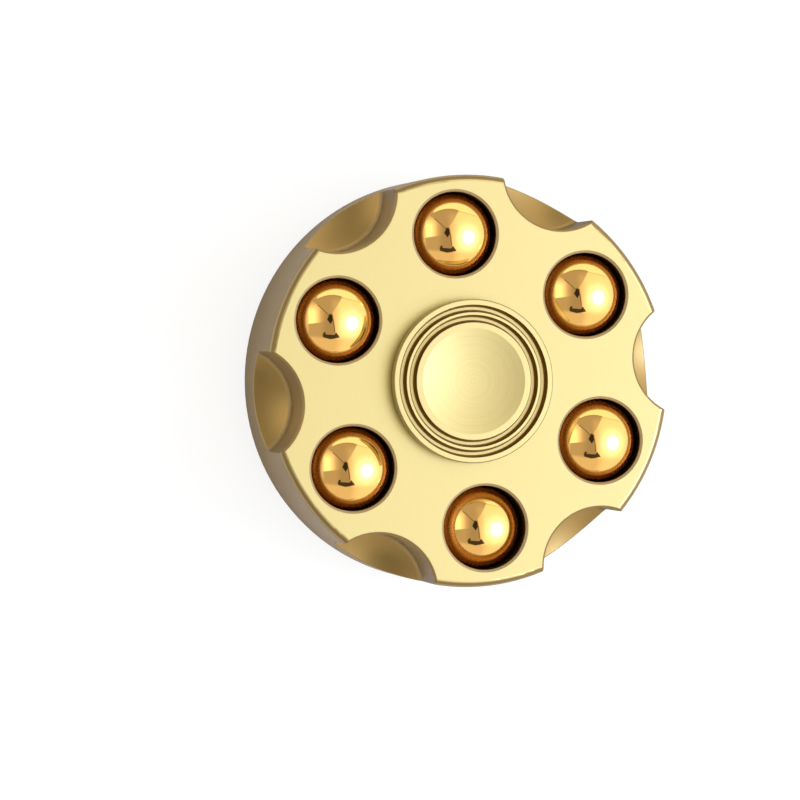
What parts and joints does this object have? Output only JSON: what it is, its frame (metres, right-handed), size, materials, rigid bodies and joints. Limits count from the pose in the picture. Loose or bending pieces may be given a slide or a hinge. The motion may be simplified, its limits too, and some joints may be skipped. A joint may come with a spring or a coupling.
{
  "type": "fidget spinner",
  "caption": "Thick round fidget spinner with fluted rim and mirror-gold dome-ended slugs in a ring of wells, turning on a ball bearing between ringed finger caps.",
  "frame": {"origin": "centre of the bearing, midway between the two finger caps", "axes": "+Z is the spin axis and leaves the fluted front face; +Y points at slug 1, and the deep-set slug 4 lies on -Y"},
  "size_m": [0.0518, 0.0518, 0.0198],
  "materials": {
    "anodised_body": "bead-blasted, anodised pale gold",
    "anodised_cap": "fine-turned, anodised pale gold",
    "gold_plate": "mirror-polished gold plating",
    "bearing_steel": "ground",
    "bearing_ball": "polished",
    "spring_steel": "dark spring temper",
    "oring_rubber": "matt black"
  },
  "bodies": {
    "hub": {"front_cap": "anodised_cap", "back_cap": "anodised_cap", "bearing_inner_race": "bearing_steel"},
    "rotor": {"rotor_body": "anodised_body", "slug_1": "gold_plate", "slug_2": "gold_plate", "slug_3": "gold_plate", "slug_4": "gold_plate", "slug_5": "gold_plate", "slug_6": "gold_plate", "slug_oring_1": "oring_rubber", "slug_oring_2": "oring_rubber", "slug_oring_3": "oring_rubber", "slug_oring_4": "oring_rubber", "slug_oring_5": "oring_rubber", "slug_oring_6": "oring_rubber", "bearing_outer_race": "bearing_steel", "front_shield": "bearing_steel", "back_shield": "bearing_steel", "front_shield_clip": "spring_steel", "back_shield_clip": "spring_steel", "bearing_circlip": "spring_steel"},
    "cage": {"bearing_cage": "bearing_steel", "bearing_balls": "bearing_ball"}
  },
  "joints": [
    {"name": "rotor_spin", "type": "hinge", "parent": "hub", "child": "rotor", "pos_m": [0, 0, 0], "axis": [0, 0, 1], "continuous": true},
    {"name": "cage_spin", "type": "hinge", "parent": "hub", "child": "cage", "pos_m": [0, 0, 0], "axis": [0, 0, 1], "continuous": true}
  ],
  "couplings": [
    {"joint": "cage_spin", "follows": "rotor_spin", "ratio": 0.5833}
  ]
}
